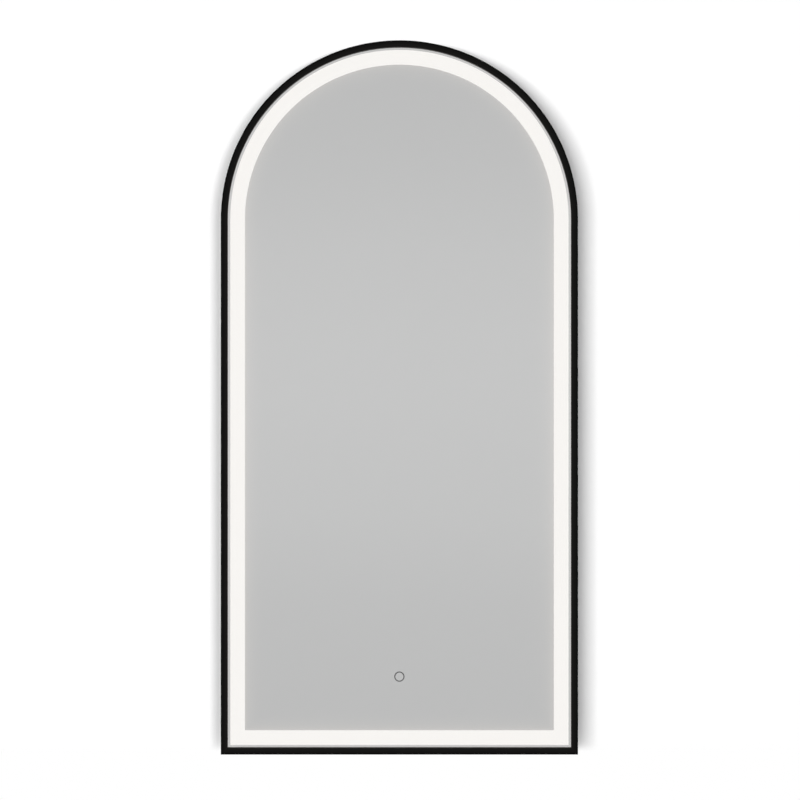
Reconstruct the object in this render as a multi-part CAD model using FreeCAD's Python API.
import FreeCAD, Part
import math
import os

# A wall-hung bathroom mirror with a lit border. An arch-topped glass sits in a slim black aluminium
# frame. Its silver coat is stripped away in a band near the edge and in a small ring, and a white
# diffuser shows through the band, lit from the side by LED tape inside the frame. A steel pan closes
# the back and carries the driver, the wiring box and the hanger rail, which hooks on the wall rail.
#
# Coordinates: X to the right seen from the front, Z up, and the wall is the plane Y = 0, with the
# mirror in front of it on the -Y side. The origin is on the wall, midway between the two wall
# screws. In this script a place is given by x, by its height above the mirror's lower edge, and by
# its stand-off from the wall. An inset is a distance inwards from the frame's outer edge. All are mm.

# ---- Overall sizes --------------------------------------------------------------------------------
WIDTH = 600.0
HEIGHT = 1200.0
DEPTH = 35.0
HANG_GAP = 270.0  # from the top of the arch down to the wall screws

# ---- Frame extrusion ------------------------------------------------------------------------------
LIP_WIDTH = 11.2  # the black face seen from the front
LIP_THICK = 1.6
EDGE_RADIUS = 0.8  # outer front corner of the lip
LIP_RADIUS = 0.5  # inner front corner of the lip
OUTER_WALL = 1.6
CHAMBER_WIDTH = 6.6  # hollow that takes the corner keys
CHAMBER_WALL = 1.4
RECESS_DEPTH = 7.5  # skirt behind the pan, which hides the rails
SHELF_WIDTH = 2.0  # small shelf that carries the diffuser's outer edge
SHELF_THICK = 1.0
TAPE_RIB_HEIGHT = 0.6  # the two ribs that the LED tape lies between
TAPE_RIB_THICK = 0.8
MITRE_REACH = 20.0  # how far the mitre cuts run inwards, past the whole profile

# ---- Glass, coat and border -----------------------------------------------------------------------
GLASS_THICK = 4.0
GLASS_EDGE_GAP = 1.4
GLASS_ARRIS = 0.5
GASKET_THICK = 0.5
GASKET_SETBACK = 0.5  # gasket's inner edge, back from the lip's edge
COAT_GAP = 0.05
COAT_THICK = 0.15
BORDER_WIDTH = 4.3  # mirror strip between the lip and the lit band
BAND_WIDTH = 24.8  # lit band
KEY_HEIGHT = 130.5  # middle of the touch key above the lower edge
KEY_RING_DIAMETER = 15.4  # middle of the stripped ring
KEY_RING_LINE = 1.8
FILM_THICK = 0.2
SETTING_BLOCK_LENGTH = 60.0
SETTING_BLOCK_INSET = 150.0  # from the frame's side to the block's middle

# ---- Light box ------------------------------------------------------------------------------------
DIFFUSER_THICK = 2.0
DIFFUSER_OUTER_GAP = 0.4
DIFFUSER_LAND = 6.0  # how far the diffuser reaches past the tray's wall
TRAY_THICK = 0.6
TRAY_MARGIN = 3.0  # from the lit band to the tray's wall
TAPE_WIDTH = 8.0
TAPE_THICK = 0.3
TAPE_CLEARANCE = 0.3
TAPE_END_GAP = 3.0
LED_PITCH = 16.67
LED_LENGTH = 3.5
LED_WIDTH = 2.8
LED_HEIGHT = 0.7
LED_CORNER_GAP = 30.0  # first LED from a lower corner of the light box
CONNECTOR_ARM = 16.0
CONNECTOR_WIDTH = 7.0
CONNECTOR_THICK = 2.4

# ---- Back pan -------------------------------------------------------------------------------------
PAN_THICK = 0.8
PAN_EDGE_GAP = 0.5
PAN_SCREW_RADIUS = 1.45
PAN_SCREW_LENGTH = 6.5
PAN_SCREW_HEAD_RADIUS = 3.2
PAN_SCREW_HEAD = 2.1
LEG_SCREWS = 4
ARCH_SCREWS = 5
BOTTOM_SCREWS = 3
SCREW_CORNER_GAP = 80.0
SWAGE_INSET = 66.0  # outer edge of the pressed swage round the pan
SWAGE_WIDTH = 9.0
SWAGE_DEPTH = 1.6
SWAGE_CORNER = 40.0
VENT_COUNT = 8
VENT_LENGTH = 34.0
VENT_WIDTH = 3.0
VENT_PITCH = 9.0
VENT_GAP = 8.0  # from the leads beside the driver
FIT = 0.1  # a fastener in its hole, each side
OVERCUT = 1.0  # how far the cutter of a lead's hole runs past the wall, each side
CORNER_SHARE = 0.45  # the largest share of a side that a rounding or bevel takes
BEND_SHARE = 0.48  # the largest share of a run that a lead's bend takes
HEAD_RIM = 0.45  # upright share of a screw head's height
HEAD_TOP = 0.6  # flat share of a head's radius

# ---- Corner keys ----------------------------------------------------------------------------------
KEY_CLEARANCE = 0.2
CORNER_KEY_ARM = 48.0
CORNER_KEY_BEVEL = 1.5
GRUB_RADIUS = 2.0
GRUB_LENGTH = 7.0
GRUB_FROM_CORNER = 32.0
GRUB_SOCKET = 1.0  # radius of the hexagon socket's corners
GRUB_SOCKET_DEPTH = 2.5

# ---- Rails ----------------------------------------------------------------------------------------
RAIL_THICK = 1.8
WALL_RAIL_LENGTH = 400.0
HANGER_RAIL_LENGTH = 360.0
WALL_SCREW_SPACING = 320.0
WALL_SCREW_HOLE = 2.75  # radius
RAIL_FLANGE = 9.0  # from the screw line to each edge of the wall rail's flange
RAIL_STEP = 2.0
RAIL_LIP = 12.0
HOOK_ENGAGE = 10.0
HOOK_CLEARANCE = 0.4
HANGER_FLANGE = 18.0
RIVET_RADIUS = 2.0
RIVET_HEAD_RADIUS = 3.8
RIVET_HEAD = 1.2
RIVET_TAIL_RADIUS = 3.0
HANGER_RIVET_PITCH = 80.0
HANGER_RIVETS = 5
BUMPER_RADIUS = 10.0
BUMPER_INSET = 38.0  # middle of a bumper from the frame's side
BUMPER_HEIGHT = 34.0
BUMPER_TIP = 7.5  # radius of the face on the wall
BUMPER_TAPER = 2.6  # height of its tapered end

# ---- Wiring box -----------------------------------------------------------------------------------
BOX_LENGTH = 124.0
BOX_WIDTH = 66.0
BOX_WALL = 1.8
BOX_CORNER = 5.0
BOX_FRONT_GAP = 1.2  # from the box to the film on the glass
BOX_FLANGE = 9.0
BOX_FLANGE_THICK = 2.0
BOX_RISE = 250.0  # middle of the box above the touch key
COVER_LAP = 11.0
COVER_THICK = 0.8
COVER_SCREW_INSET = 5.0
COVER_SCREW_RADIUS = 1.45
COVER_SCREW_LENGTH = 8.0
COVER_SCREW_HEAD_RADIUS = 2.9
COVER_SCREW_HEAD = 1.8
CABLE_BORE = 4.0  # radius of the hole in the rubber grommet
GROMMET_NECK = 7.0
GROMMET_FLANGE = 10.0
GROMMET_LIP_THICK = 1.8
GROMMET_RIM = 8.5  # radius at which the flange starts to taper
GROMMET_X = 36.0
TERMINAL_WAYS = 3
TERMINAL_PITCH = 11.0
TERMINAL_DEPTH = 12.0
TERMINAL_WIDTH = 22.0
TERMINAL_X = -22.0
TERMINAL_WIRE_DEPTH = 4.0  # from the block's foot to its wire tunnels
TERMINAL_WIRE_HOLE = 1.9
TERMINAL_GAP = 16.0  # from the supply lead's sheath to the block
TERMINAL_STEP = 4.0  # how much lower the block's foot is than its towers
TERMINAL_STEP_LONG = 2.0
TERMINAL_STEP_SIDE = 1.2
TERMINAL_SCREW_SINK = 1.0
CORE_RADIUS = 1.0
CORE_SPREAD = 1.2  # from the sheath's middle to each core's
CORE_GRIP = 3.0  # length of a core inside its tunnel
TERMINAL_SCREW_RADIUS = 1.7
CLAMP_LENGTH = 30.0
CLAMP_WIDTH = 8.0
CLAMP_POST = 6.0
CLAMP_THICK = 2.5
CLAMP_REACH = 7.0  # from the pan to the clamp's seat
CLAMP_X = 18.0
CLAMP_SCREW_RADIUS = 1.5
CLAMP_SCREW_BITE = 5.0
CLAMP_SCREW_HEAD = 1.6
CLAMP_SCREW_HEAD_RADIUS = 2.7
CLAMP_SADDLE = 2.0  # from the clamp's seat to the middle of its saddle

# ---- Driver ---------------------------------------------------------------------------------------
DRIVER_LENGTH = 168.0
DRIVER_WIDTH = 44.0
DRIVER_HEIGHT = 16.0
DRIVER_WALL = 1.6
DRIVER_CORNER = 4.0
DRIVER_EAR = 12.0
DRIVER_EAR_WIDTH = 16.0
DRIVER_EAR_THICK = 3.0
DRIVER_GATE_SHIFT = 14.0  # the leads' holes above the driver's middle, clear of the ears
DRIVER_RISE = 130.0  # middle of the driver above the touch key
DRIVER_BOARD_THICK = 1.6
DRIVER_BOARD_GAP = 1.0
DRIVER_BOARD_LIFT = 2.4
DRIVER_SCREW_RADIUS = 1.7
DRIVER_SCREW_HEAD_RADIUS = 3.2
DRIVER_SCREW_TAIL = 1.0
DRIVER_RIBS = 11
DRIVER_RIB_SHARE = 0.6  # rib's share of the ribs' pitch
DRIVER_RIB_MARGIN = 4.4  # from the ribs' ends to the cover's edge
DRIVER_POST_RADIUS = 2.5
DRIVER_POST_INSET = 7.0
TRANSFORMER_LENGTH = 28.0
TRANSFORMER_WIDTH = 24.0
TRANSFORMER_CORE = 22.0
TRANSFORMER_COIL = 14.0
CAPACITOR_RADIUS = 5.0
CAPACITOR_PITCH = 14.0
CAPACITORS = 3
CHOKE_RADIUS = 7.0
DRIVER_TERMINAL_LENGTH = 10.0
COMPONENT_GAP = 0.6  # from the tallest component to the cover

# ---- Touch sensor ---------------------------------------------------------------------------------
SENSOR_LENGTH = 58.0
SENSOR_WIDTH = 32.0
SENSOR_HEIGHT = 9.0
SENSOR_WALL = 1.4
SENSOR_CORNER = 3.0
SENSOR_COVER_THICK = 1.4
SENSOR_BOARD_THICK = 1.2
SENSOR_BOARD_LIFT = 1.2
SENSOR_BOARD_GAP = 0.5
SENSOR_PLUG_LENGTH = 7.0
SENSOR_PLUG_SETBACK = 2.0
SENSOR_POST_RADIUS = 1.6
SENSOR_POST_INSET = 4.5
SENSOR_LID_RIM = 1.5
SENSOR_LID_PLUG = 1.0
TOUCH_CHIP = 5.0
TOUCH_CHIP_THICK = 1.0
ELECTRODE_THICK = 0.3
ELECTRODE_STEM = 1.7  # radius
KEY_RING_THICK = 1.0

# ---- Leads, earth and pads ------------------------------------------------------------------------
SUPPLY_LEAD_RADIUS = 3.0
LOW_LEAD_RADIUS = 1.6
LEAD_BEND = 5.0  # radius of a bend, in diameters of the lead
LEAD_HOLE_GAP = 0.3
LEAD_OUT = 60.0  # how far the leads swing out past the driver's ends
TAPE_LEAD_OUT = 42.0  # how far the tape's lead swings out past the sensor
LEAD_STRAIGHT = 22.0  # straight length of a lead before it changes level
CLIP_WALL = 1.2
CLIP_LENGTH = 8.0
CLIP_BASE = 5.0
EARTH_GAP = 29.0  # from the wiring box's flange to the earth stud
EARTH_RADIUS = 2.0
EARTH_HEAD_RADIUS = 3.8
EARTH_STUD_LENGTH = 9.0
EARTH_NUT_FLATS = 7.0
EARTH_NUT_THICK = 3.2
EARTH_TAG_RADIUS = 4.0
EARTH_TAG_THICK = 0.8
EARTH_LEAD_RADIUS = 1.1
EARTH_BARREL_WALL = 0.6
EARTH_BARREL_LENGTH = 7.0
EARTH_LEAD_LIFT = 0.5  # above the wiring box's flange
PAD_SIZE = 40.0
PAD_CORNER = 4.0
PAD_X = 105.0
PAD_ROWS = 3
PAD_TOP_GAP = 210.0  # top row of pads below the top of the arch
PAD_PITCH = 190.0

# ---- Stand-offs and insets that follow from the sizes above ------------------------------------------
HANG_HEIGHT = HEIGHT - HANG_GAP
SPRING_HEIGHT = HEIGHT - WIDTH / 2
LIP_BACK = DEPTH - LIP_THICK
GLASS_FRONT = LIP_BACK - GASKET_THICK
GLASS_BACK = GLASS_FRONT - GLASS_THICK
COAT_FRONT = GLASS_BACK - COAT_GAP
COAT_BACK = COAT_FRONT - COAT_THICK
LEDGE_BACK = COAT_BACK - CHAMBER_WALL
FILM_BACK = COAT_BACK - FILM_THICK
DIFFUSER_BACK = COAT_BACK - DIFFUSER_THICK
SHELF_BACK = DIFFUSER_BACK - SHELF_THICK
PAN_FRONT = RECESS_DEPTH + PAN_THICK
WEB_FRONT = PAN_FRONT + CHAMBER_WALL
TRAY_FRONT = PAN_FRONT + TRAY_THICK
CHAMBER_INSET = OUTER_WALL + CHAMBER_WIDTH
FRAME_INSET = CHAMBER_INSET + CHAMBER_WALL
SCREW_INSET = OUTER_WALL + CHAMBER_WIDTH / 2
GLASS_INSET = OUTER_WALL + GLASS_EDGE_GAP
BAND_OUTER = LIP_WIDTH + BORDER_WIDTH
BAND_INNER = BAND_OUTER + BAND_WIDTH
TRAY_WALL_INSET = BAND_INNER + TRAY_MARGIN
DIFFUSER_INNER = TRAY_WALL_INSET + DIFFUSER_LAND
TAPE_MIDDLE = (TRAY_FRONT + SHELF_BACK) / 2
TAPE_FACE = FRAME_INSET + TAPE_THICK
TAPE_SLOT = TAPE_WIDTH / 2 + TAPE_CLEARANCE
BOX_HEIGHT = KEY_HEIGHT + BOX_RISE
DRIVER_MIDDLE = KEY_HEIGHT + DRIVER_RISE
DRIVER_GATE = DRIVER_MIDDLE + DRIVER_GATE_SHIFT
BOX_FRONT = FILM_BACK - BOX_FRONT_GAP
BOX_FLOOR = BOX_FRONT - BOX_WALL
TERMINAL_LEVEL = BOX_FLOOR - TERMINAL_WIRE_DEPTH
CLAMP_AXIS = BOX_HEIGHT - BOX_WIDTH / 2 + BOX_WALL + CLAMP_WIDTH
CLAMP_SEAT = PAN_FRONT + CLAMP_REACH
LEAD_LEVEL = PAN_FRONT + BOX_FLANGE_THICK + SUPPLY_LEAD_RADIUS + LEAD_HOLE_GAP
EARTH_LEVEL = PAN_FRONT + BOX_FLANGE_THICK + EARTH_LEAD_LIFT + EARTH_LEAD_RADIUS
EARTH_X = -(BOX_LENGTH / 2 + BOX_FLANGE + EARTH_GAP)
EARTH_GATE = BOX_HEIGHT + (TERMINAL_WAYS - 1) * TERMINAL_PITCH / 2
VENT_X = DRIVER_LENGTH / 2 + LEAD_OUT + SUPPLY_LEAD_RADIUS + VENT_GAP + VENT_LENGTH / 2
SENSOR_BACK = FILM_BACK - SENSOR_HEIGHT
SENSOR_BOARD_SEAT = SENSOR_BACK + SENSOR_COVER_THICK + SENSOR_BOARD_LIFT
SENSOR_BOARD_FRONT = SENSOR_BOARD_SEAT + SENSOR_BOARD_THICK
SENSOR_LEVEL = SENSOR_BOARD_FRONT + LOW_LEAD_RADIUS + FIT


# ---- Drawing helpers ------------------------------------------------------------------------------
def at(x, height, standoff):
    """A point from its x, its height above the lower edge and its stand-off from the wall."""
    return FreeCAD.Vector(x, -standoff, height - HANG_HEIGHT)


def block(x0, x1, low, high, back, front):
    """A box between two values of x, of height and of stand-off."""
    corner = at(x0, low, front)
    return Part.makeBox(x1 - x0, front - back, high - low, corner)


def bar(x, height, back, front, radius):
    """A round bar square to the wall."""
    return Part.makeCylinder(radius, front - back, at(x, height, back), FreeCAD.Vector(0, -1, 0))


def slab(points, back, front):
    """A flat plate whose outline is given as (x, height) corners."""
    wire = Part.makePolygon([at(x, h, back) for x, h in points + points[:1]])
    return Part.Face(wire).extrude(FreeCAD.Vector(0, back - front, 0))


def rounded_block(length, width, middle, corner, back, front):
    """A box centred on middle = (x, height), with its four corners rounded in the wall's plane."""
    x, height = middle
    box = block(x - length / 2, x + length / 2, height - width / 2, height + width / 2, back, front)
    radius = min(corner, CORNER_SHARE * length, CORNER_SHARE * width)
    uprights = [e for e in box.Edges if abs(e.tangentAt(e.FirstParameter).y) > 0.99]
    return box.makeFillet(radius, uprights)


def arch_face(inset, standoff, corner=0.0):
    """The mirror's arch outline moved inwards by inset. corner rounds its two lower corners."""
    half = WIDTH / 2 - inset
    top = at(0, SPRING_HEIGHT + half, standoff)
    left, right = at(-half, SPRING_HEIGHT, standoff), at(half, SPRING_HEIGHT, standoff)
    edges = [Part.Arc(left, top, right).toShape()]
    if corner > 0:
        mid = corner * (1 - math.sqrt(0.5))
        low_right = at(half, inset + corner, standoff)
        foot_right = at(half - corner, inset, standoff)
        foot_left = at(corner - half, inset, standoff)
        low_left = at(-half, inset + corner, standoff)
        edges.append(Part.makeLine(right, low_right))
        edges.append(Part.Arc(low_right, at(half - mid, inset + mid, standoff), foot_right).toShape())
        edges.append(Part.makeLine(foot_right, foot_left))
        edges.append(Part.Arc(foot_left, at(mid - half, inset + mid, standoff), low_left).toShape())
        edges.append(Part.makeLine(low_left, left))
    else:
        low_right, low_left = at(half, inset, standoff), at(-half, inset, standoff)
        edges.append(Part.makeLine(right, low_right))
        edges.append(Part.makeLine(low_right, low_left))
        edges.append(Part.makeLine(low_left, left))
    return Part.Face(Part.Wire(edges))


def arch_plate(inset, back, front, corner=0.0):
    """A plate with the arch outline."""
    return arch_face(inset, back, corner).extrude(FreeCAD.Vector(0, back - front, 0))


def arch_ring(outer, inner, back, front, corner=0.0):
    """A flat ring between two insets. corner rounds its outer lower corners, and the inner ones to match."""
    inner_corner = max(corner - (inner - outer), 0.0)
    return arch_plate(outer, back, front, corner).cut(arch_plate(inner, back, front, inner_corner))


def turned(profile, middle):
    """A solid of revolution square to the wall: profile is (radius, stand-off) points, middle (x, height)."""
    x, height = middle
    points = [at(x + radius, height, standoff) for radius, standoff in profile]
    face = Part.Face(Part.makePolygon(points + points[:1]))
    return face.revolve(at(x, height, 0), FreeCAD.Vector(0, 1, 0), 360)


def hexagon(middle, radius, back, front):
    """A six-sided bar square to the wall, radius being to its corners."""
    x, height = middle
    angles = [math.radians(60 * i) for i in range(6)]
    return slab([(x + radius * math.cos(a), height + radius * math.sin(a)) for a in angles], back, front)


def tube_along(points, radius, bend):
    """A round lead through points, with an arc of radius bend, or the largest that fits, at each corner."""
    edges = []
    start = points[0]
    for i in range(1, len(points) - 1):
        before, corner, after = points[i - 1], points[i], points[i + 1]
        into, out = (before - corner).normalize(), (after - corner).normalize()
        half_angle = into.getAngle(out) / 2
        room = BEND_SHARE * min((before - corner).Length, (after - corner).Length)
        reach = min(bend / math.tan(half_angle), room)
        first, last = corner + into * reach, corner + out * reach
        away = (into + out).normalize()
        arc_radius = reach * math.tan(half_angle)
        middle = corner + away * (arc_radius / math.sin(half_angle) - arc_radius)
        edges.append(Part.makeLine(start, first))
        edges.append(Part.Arc(first, middle, last).toShape())
        start = last
    edges.append(Part.makeLine(start, points[-1]))
    path = Part.Wire(edges)
    along = points[1] - points[0]
    section = Part.Wire([Part.makeCircle(radius, points[0], along)])
    return path.makePipeShell([section], True, False)


def perimeter_places(inset, legs, arch, bottom):
    """Places for fasteners on both legs, round the arch and along the bottom, at one inset."""
    half = WIDTH / 2 - inset
    places = []
    for i in range(legs):
        height = SCREW_CORNER_GAP + i * (SPRING_HEIGHT - SCREW_CORNER_GAP) / legs
        places += [(-half, height), (half, height)]
    for i in range(arch):
        angle = math.pi * i / (arch - 1) if arch > 1 else math.pi / 2
        places.append((-half * math.cos(angle), SPRING_HEIGHT + half * math.sin(angle)))
    run = WIDTH - 2 * SCREW_CORNER_GAP
    for i in range(bottom):
        share = i / (bottom - 1) if bottom > 1 else 0.5
        places.append((run * (share - 0.5), inset))
    return places


# ---- Frame ----------------------------------------------------------------------------------------
def frame_section(place):
    """The extrusion's section as a face. place turns (inset, stand-off) into a point."""
    largest = CORNER_SHARE * LIP_THICK
    lip_out, lip_in = min(EDGE_RADIUS, largest), min(LIP_RADIUS, largest)
    bow_out, bow_in = lip_out * (1 - math.sqrt(0.5)), lip_in * (1 - math.sqrt(0.5))
    rib_front, rib_back = TAPE_MIDDLE + TAPE_SLOT, TAPE_MIDDLE - TAPE_SLOT
    rib_tip = FRAME_INSET + TAPE_RIB_HEIGHT
    shelf_tip = FRAME_INSET + SHELF_WIDTH
    path = [
        (LIP_WIDTH, DEPTH - lip_in),
        (LIP_WIDTH, LIP_BACK),
        (OUTER_WALL, LIP_BACK),
        (OUTER_WALL, COAT_BACK),
        (FRAME_INSET, COAT_BACK),
        (FRAME_INSET, DIFFUSER_BACK),
        (shelf_tip, DIFFUSER_BACK),
        (shelf_tip, SHELF_BACK),
        (FRAME_INSET, SHELF_BACK),
        (FRAME_INSET, rib_front + TAPE_RIB_THICK),
        (rib_tip, rib_front + TAPE_RIB_THICK),
        (rib_tip, rib_front),
        (FRAME_INSET, rib_front),
        (FRAME_INSET, rib_back),
        (rib_tip, rib_back),
        (rib_tip, rib_back - TAPE_RIB_THICK),
        (FRAME_INSET, rib_back - TAPE_RIB_THICK),
        (FRAME_INSET, PAN_FRONT),
        (OUTER_WALL, PAN_FRONT),
        (OUTER_WALL, 0),
        (0, 0),
        (0, DEPTH - lip_out),
    ]
    lines = [Part.makeLine(place(*a), place(*b)) for a, b in zip(path, path[1:])]
    outer = Part.Arc(place(0, DEPTH - lip_out), place(bow_out, DEPTH - bow_out), place(lip_out, DEPTH))
    face_line = Part.makeLine(place(lip_out, DEPTH), place(LIP_WIDTH - lip_in, DEPTH))
    inner_mid = place(LIP_WIDTH - bow_in, DEPTH - bow_in)
    inner = Part.Arc(place(LIP_WIDTH - lip_in, DEPTH), inner_mid, place(LIP_WIDTH, DEPTH - lip_in))
    outline = Part.Wire(lines + [outer.toShape(), face_line, inner.toShape()])
    hollow = [
        (OUTER_WALL, WEB_FRONT),
        (CHAMBER_INSET, WEB_FRONT),
        (CHAMBER_INSET, LEDGE_BACK),
        (OUTER_WALL, LEDGE_BACK),
        (OUTER_WALL, WEB_FRONT),
    ]
    return Part.Face(outline).cut(Part.Face(Part.makePolygon([place(*p) for p in hollow])))


def mitre_wedge():
    """The space of the bottom rail: a trapezium whose slanted sides are the two mitre cuts."""
    half = WIDTH / 2
    corners = [(-half, 0), (half, 0), (half - MITRE_REACH, MITRE_REACH), (MITRE_REACH - half, MITRE_REACH)]
    return slab(corners, 0, DEPTH)


def grub_places():
    """Where the grub screws enter the corner keys, as (x, height)."""
    side, reach = WIDTH / 2 - SCREW_INSET, WIDTH / 2 - GRUB_FROM_CORNER
    return [(-side, GRUB_FROM_CORNER), (side, GRUB_FROM_CORNER), (-reach, SCREW_INSET), (reach, SCREW_INSET)]


def web_holes():
    """Pilot holes for the pan screws and clearance holes for the grub screws, through the rear web."""
    pan = perimeter_places(SCREW_INSET, LEG_SCREWS, ARCH_SCREWS, BOTTOM_SCREWS)
    holes = [bar(x, h, PAN_FRONT, WEB_FRONT, PAN_SCREW_RADIUS + FIT) for x, h in pan]
    holes += [bar(x, h, PAN_FRONT, WEB_FRONT, GRUB_RADIUS + FIT) for x, h in grub_places()]
    return Part.makeCompound(holes)


def frame_arch():
    """One bent extrusion: two legs and the half circle, mitred at the feet."""
    section = frame_section(lambda inset, standoff: at(inset - WIDTH / 2, SPRING_HEIGHT, standoff))
    bow = section.revolve(at(0, SPRING_HEIGHT, 0), FreeCAD.Vector(0, 1, 0), 180)
    leg = section.extrude(FreeCAD.Vector(0, 0, -SPRING_HEIGHT))
    other = leg.mirror(FreeCAD.Vector(0, 0, 0), FreeCAD.Vector(1, 0, 0))
    return bow.fuse([leg, other]).cut(mitre_wedge()).cut(web_holes())


def frame_bottom():
    """The straight rail that closes the frame."""
    section = frame_section(lambda inset, standoff: at(-WIDTH / 2, inset, standoff))
    rail = section.extrude(FreeCAD.Vector(WIDTH, 0, 0))
    return rail.common(mitre_wedge()).cut(web_holes())


def corner_key(side):
    """A cast L that fills the hollow at one lower corner. side is -1 for left and 1 for right."""
    low, high = OUTER_WALL + KEY_CLEARANCE, CHAMBER_INSET - KEY_CLEARANCE
    tip, bevel = CORNER_KEY_ARM, min(CORNER_KEY_BEVEL, CORNER_SHARE * (high - low))
    outline = [
        (low, low),
        (tip - bevel, low),
        (tip, low + bevel),
        (tip, high - bevel),
        (tip - bevel, high),
        (high, high),
        (high, tip - bevel),
        (high - bevel, tip),
        (low + bevel, tip),
        (low, tip - bevel),
    ]
    corners = [(side * (WIDTH / 2 - inset), height) for inset, height in outline]
    key = slab(corners, WEB_FRONT + KEY_CLEARANCE, LEDGE_BACK - KEY_CLEARANCE)
    for x, height in grub_places():
        key = key.cut(bar(x, height, WEB_FRONT, PAN_FRONT + GRUB_LENGTH, GRUB_RADIUS + FIT))
    return key


def corner_grub_screws():
    """Socket grub screws that lock the keys through the web, flush under the pan."""
    screws = []
    for place in grub_places():
        body = bar(*place, PAN_FRONT, PAN_FRONT + GRUB_LENGTH - FIT, GRUB_RADIUS)
        socket = hexagon(place, GRUB_SOCKET, PAN_FRONT, PAN_FRONT + GRUB_SOCKET_DEPTH)
        screws.append(body.cut(socket))
    return Part.makeCompound(screws)


# ---- Glass and what lies on it --------------------------------------------------------------------
def mirror_glass():
    """The float glass, with its edges lightly ground."""
    plate = arch_plate(GLASS_INSET, GLASS_BACK, GLASS_FRONT)
    rims = [e for e in plate.Edges if abs(e.tangentAt(e.FirstParameter).y) < 0.01]
    return plate.makeChamfer(min(GLASS_ARRIS, CORNER_SHARE * GLASS_THICK), rims)


def silver_coat():
    """Silver and paint on the glass's back, stripped in the band and in the key's ring."""
    border = arch_ring(GLASS_INSET + GLASS_ARRIS, BAND_OUTER, COAT_BACK, COAT_FRONT)
    field = arch_plate(BAND_INNER, COAT_BACK, COAT_FRONT)
    outer, inner = (KEY_RING_DIAMETER + KEY_RING_LINE) / 2, (KEY_RING_DIAMETER - KEY_RING_LINE) / 2
    ring = bar(0, KEY_HEIGHT, COAT_BACK, COAT_FRONT, outer)
    middle = bar(0, KEY_HEIGHT, COAT_BACK, COAT_FRONT, inner)
    return Part.makeCompound([border, field.cut(ring), middle])


def safety_film():
    """Plastic film that holds the glass if it breaks, cut away where the sensor sits."""
    window = SENSOR_LENGTH / 2 + FIT, SENSOR_WIDTH / 2 + FIT
    cut = block(-window[0], window[0], KEY_HEIGHT - window[1], KEY_HEIGHT + window[1], FILM_BACK, COAT_BACK)
    return arch_plate(DIFFUSER_INNER + FIT, FILM_BACK, COAT_BACK).cut(cut)


def glass_gasket():
    """Thin black foam between the lip and the glass."""
    return arch_ring(GLASS_INSET, LIP_WIDTH - GASKET_SETBACK, GLASS_FRONT, LIP_BACK)


def setting_block(side):
    """Rubber block that carries the glass's lower edge on one side."""
    left = side * (WIDTH / 2 - SETTING_BLOCK_INSET) - SETTING_BLOCK_LENGTH / 2
    return block(left, left + SETTING_BLOCK_LENGTH, OUTER_WALL, GLASS_INSET, GLASS_BACK, GLASS_FRONT)


# ---- Light box ------------------------------------------------------------------------------------
def diffuser():
    """Opal sheet behind the lit band, held by the frame's shelf and the tray's lip."""
    return arch_ring(FRAME_INSET + DIFFUSER_OUTER_GAP, DIFFUSER_INNER, DIFFUSER_BACK, COAT_BACK)


def tape_feed():
    """Where the low-voltage lead meets the bottom tape, as (x, height) of its middle."""
    return -(SENSOR_LENGTH / 2 + TAPE_LEAD_OUT), TAPE_FACE + CONNECTOR_THICK / 2


def reflector_tray():
    """White formed tray: a floor on the pan, a wall that stops the light and a lip for the diffuser."""
    floor = arch_ring(FRAME_INSET + DIFFUSER_OUTER_GAP, TRAY_WALL_INSET, PAN_FRONT, TRAY_FRONT)
    wall = arch_ring(TRAY_WALL_INSET, TRAY_WALL_INSET + TRAY_THICK, PAN_FRONT, DIFFUSER_BACK)
    lip = arch_ring(TRAY_WALL_INSET, DIFFUSER_INNER, DIFFUSER_BACK - TRAY_THICK, DIFFUSER_BACK)
    x, radius = tape_feed()[0], LOW_LEAD_RADIUS + LEAD_HOLE_GAP
    low, high = TRAY_WALL_INSET - OVERCUT, TRAY_WALL_INSET + TRAY_THICK + OVERCUT
    gate = Part.makeCylinder(radius, high - low, at(x, low, TAPE_MIDDLE), FreeCAD.Vector(0, 0, 1))
    return floor.fuse([wall, lip]).cut(gate)


def led_tape_arch():
    """Flexible tape on edge along the frame's inner wall, up one leg, round and down the other."""
    back, front = TAPE_MIDDLE - TAPE_WIDTH / 2, TAPE_MIDDLE + TAPE_WIDTH / 2
    hoop = arch_ring(FRAME_INSET, TAPE_FACE, back, front)
    foot = block(-WIDTH, WIDTH, 0, TAPE_FACE + TAPE_END_GAP, back, front)
    return hoop.cut(foot)


def led_tape_bottom():
    """The tape on the bottom rail."""
    reach = WIDTH / 2 - TAPE_FACE - TAPE_END_GAP
    back, front = TAPE_MIDDLE - TAPE_WIDTH / 2, TAPE_MIDDLE + TAPE_WIDTH / 2
    return block(-reach, reach, FRAME_INSET, TAPE_FACE, back, front)


def led(x, height, turn):
    """One LED with the middle of its back at (x, height). turn is 0 on the left leg and 180 on the right."""
    half_width, half_length = LED_WIDTH / 2, LED_LENGTH / 2
    corner = FreeCAD.Vector(0, -half_width, -half_length)
    chip = Part.makeBox(LED_HEIGHT, LED_WIDTH, LED_LENGTH, corner)
    chip.rotate(FreeCAD.Vector(0, 0, 0), FreeCAD.Vector(0, 1, 0), turn)
    chip.translate(at(x, height, TAPE_MIDDLE))
    return chip


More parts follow.
